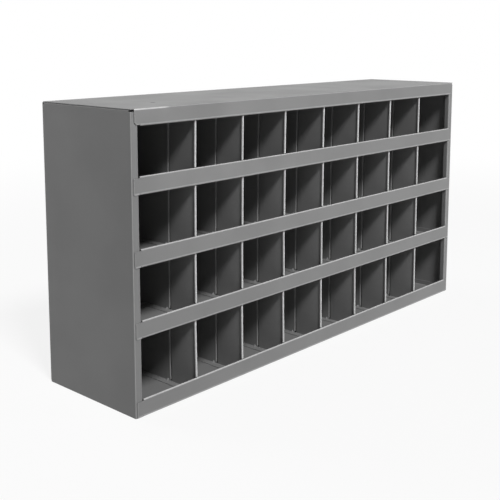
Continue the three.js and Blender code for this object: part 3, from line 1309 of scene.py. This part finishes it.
    def lean(self, piece: Piece, node: str, degrees: float) -> None:
        """Tilts a divider's wall a little about its foot, as hand-fitted ones stand.

        Args:
            piece: The divider.
            node: The CAD node that it stands for.
            degrees: How far it leans to the right.
        """
        low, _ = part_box(node)
        hinge = low.z + self.gauge.bend
        slope = math.tan(math.radians(degrees))
        for vertex in piece.data.vertices:
            vertex.co.x += slope * max(0.0, vertex.co.z - hinge)


@dataclass(frozen=True)
class Softbox:
    """A square studio lamp that shines on the middle of the unit."""

    name: str
    bearing: tuple[float, float, float]
    distance: float
    side: float
    watts: float

    def hang(self, middle: Vector) -> None:
        """Hangs the lamp and turns it to the unit.

        Args:
            middle: The point that it shines on.
        """
        lamp = bpy.data.lights.new(self.name, "AREA")
        lamp.shape = "SQUARE"
        lamp.size = self.side
        lamp.energy = self.watts
        holder = bpy.data.objects.new(self.name, lamp)
        way = Vector(self.bearing).normalized()
        holder.location = middle + way * self.distance
        holder.rotation_euler = way.to_track_quat("Z", "Y").to_euler()
        bpy.context.scene.collection.objects.link(holder)


@dataclass(frozen=True)
class Viewpoint:
    """Where the photographer stood, in front of the unit and to its left."""

    place: tuple[float, float, float] = (-1.1916, -1.0188, 0.5424)
    heading_degrees: float = 47.55
    tilt_degrees: float = 7.933
    lens_mm: float = 63.376
    shift: float = -0.19

    def set_up(self) -> None:
        """Makes the scene's camera."""
        camera = bpy.data.cameras.new("camera")
        camera.lens = self.lens_mm
        camera.shift_y = self.shift
        holder = bpy.data.objects.new("camera", camera)
        holder.location = self.place
        tilt = math.pi / 2 - math.radians(self.tilt_degrees)
        holder.rotation_euler = (tilt, 0, -math.radians(self.heading_degrees))
        bpy.context.scene.collection.objects.link(holder)
        bpy.context.scene.camera = holder


@dataclass
class Studio:
    """A pale floor, soft lamps and a white backdrop."""

    viewpoint: Viewpoint = Viewpoint()
    softboxes: tuple[Softbox, ...] = (
        Softbox("key_softbox", (-0.18, -0.44, 0.51), 10.0, 2.0, 690),
        Softbox("fill_softbox", (0.5, -0.87, -0.05), 1.9, 0.6, 11.5),
        Softbox("rear_softbox", (-0.2, 0.9, 0.35), 4.0, 2.5, 50),
    )
    white: Colour = shade(1.0)
    ambient: float = 0.12
    floor_side: float = 60.0
    floor_drop: float = 0.2 * MM
    floor_grey: float = 0.45
    near_glow: float = 0.84
    far_glow: float = 1.0
    near_reach: float = 0.9
    far_reach: float = 2.6

    def build(self) -> None:
        """Sets up the floor, the lamps, the backdrop and the camera."""
        middle = (CAD_BOX[0] + CAD_BOX[1]) / 2
        for softbox in self.softboxes:
            softbox.hang(middle)
        self.lay_floor()
        self.light_world()
        self.viewpoint.set_up()
        bpy.context.scene.view_settings.view_transform = "Standard"

    @staticmethod
    def seen_share(graph: Graph) -> Socket:
        """Tells the rays that show the backdrop to the camera, straight or by way of a shiny surface.

        Args:
            graph: The nodes of the floor or the world.

        Returns:
            1 for such a ray, and 0 for one that lights the unit.
        """
        path = graph.add("ShaderNodeLightPath")
        seen = graph.maths("MAXIMUM", path.outputs["Is Camera Ray"], path.outputs["Is Glossy Ray"])
        return graph.maths("MAXIMUM", seen, path.outputs["Is Transmission Ray"])

    def lay_floor(self) -> None:
        """Lays the floor, which keeps a faint shadow round the unit and is plain white further off."""
        deselect_objects()
        bpy.ops.mesh.primitive_plane_add(size=self.floor_side, location=(0, 0, -self.floor_drop))
        floor = bpy.context.active_object
        floor.name = "floor"
        material = bpy.data.materials.new("floor_paper")
        material.use_nodes = True
        graph = Graph(material.node_tree)
        seen = self.seen_share(graph)
        colour = graph.tint(seen, shade(self.floor_grey), self.white)
        away = graph.add("ShaderNodeVectorMath", operation="LENGTH")
        graph.feed(away.inputs[0], graph.add("ShaderNodeTexCoord").outputs["Object"])
        reaches, glows = (self.near_reach, self.far_reach), (self.near_glow, self.far_glow)
        whiteness = graph.eased(away.outputs["Value"], *reaches, *glows)
        share = graph.maths("MULTIPLY", seen, whiteness)
        paper = graph.result_of("ShaderNodeBsdfDiffuse", colour)
        glow = graph.result_of("ShaderNodeEmission", self.white)
        blend = graph.result_of("ShaderNodeMixShader", share, paper, glow)
        graph.end_with("ShaderNodeOutputMaterial", blend)
        floor.data.materials.append(material)

    def light_world(self) -> None:
        """Lights the unit faintly from all round, and shows the camera plain white."""
        world = bpy.data.worlds.new("studio")
        world.use_nodes = True
        bpy.context.scene.world = world
        graph = Graph(world.node_tree)
        seen = self.seen_share(graph)
        dim = graph.result_of("ShaderNodeBackground", self.white, self.ambient)
        backdrop = graph.result_of("ShaderNodeBackground", self.white)
        blend = graph.result_of("ShaderNodeMixShader", seen, dim, backdrop)
        graph.end_with("ShaderNodeOutputWorld", blend)


def main() -> None:
    """Models and paints the unit, sub-assembly by sub-assembly, and sets up the studio."""
    logging.basicConfig(level=logging.INFO, format="%(name)s: %(message)s")
    paint = PowderCoat().material()
    for assembly in (Carcass(), ShelfStack(), DividerRows()):
        assembly.dress(assembly.build(), paint)
    Studio().build()


if __name__ == "__main__":
    main()
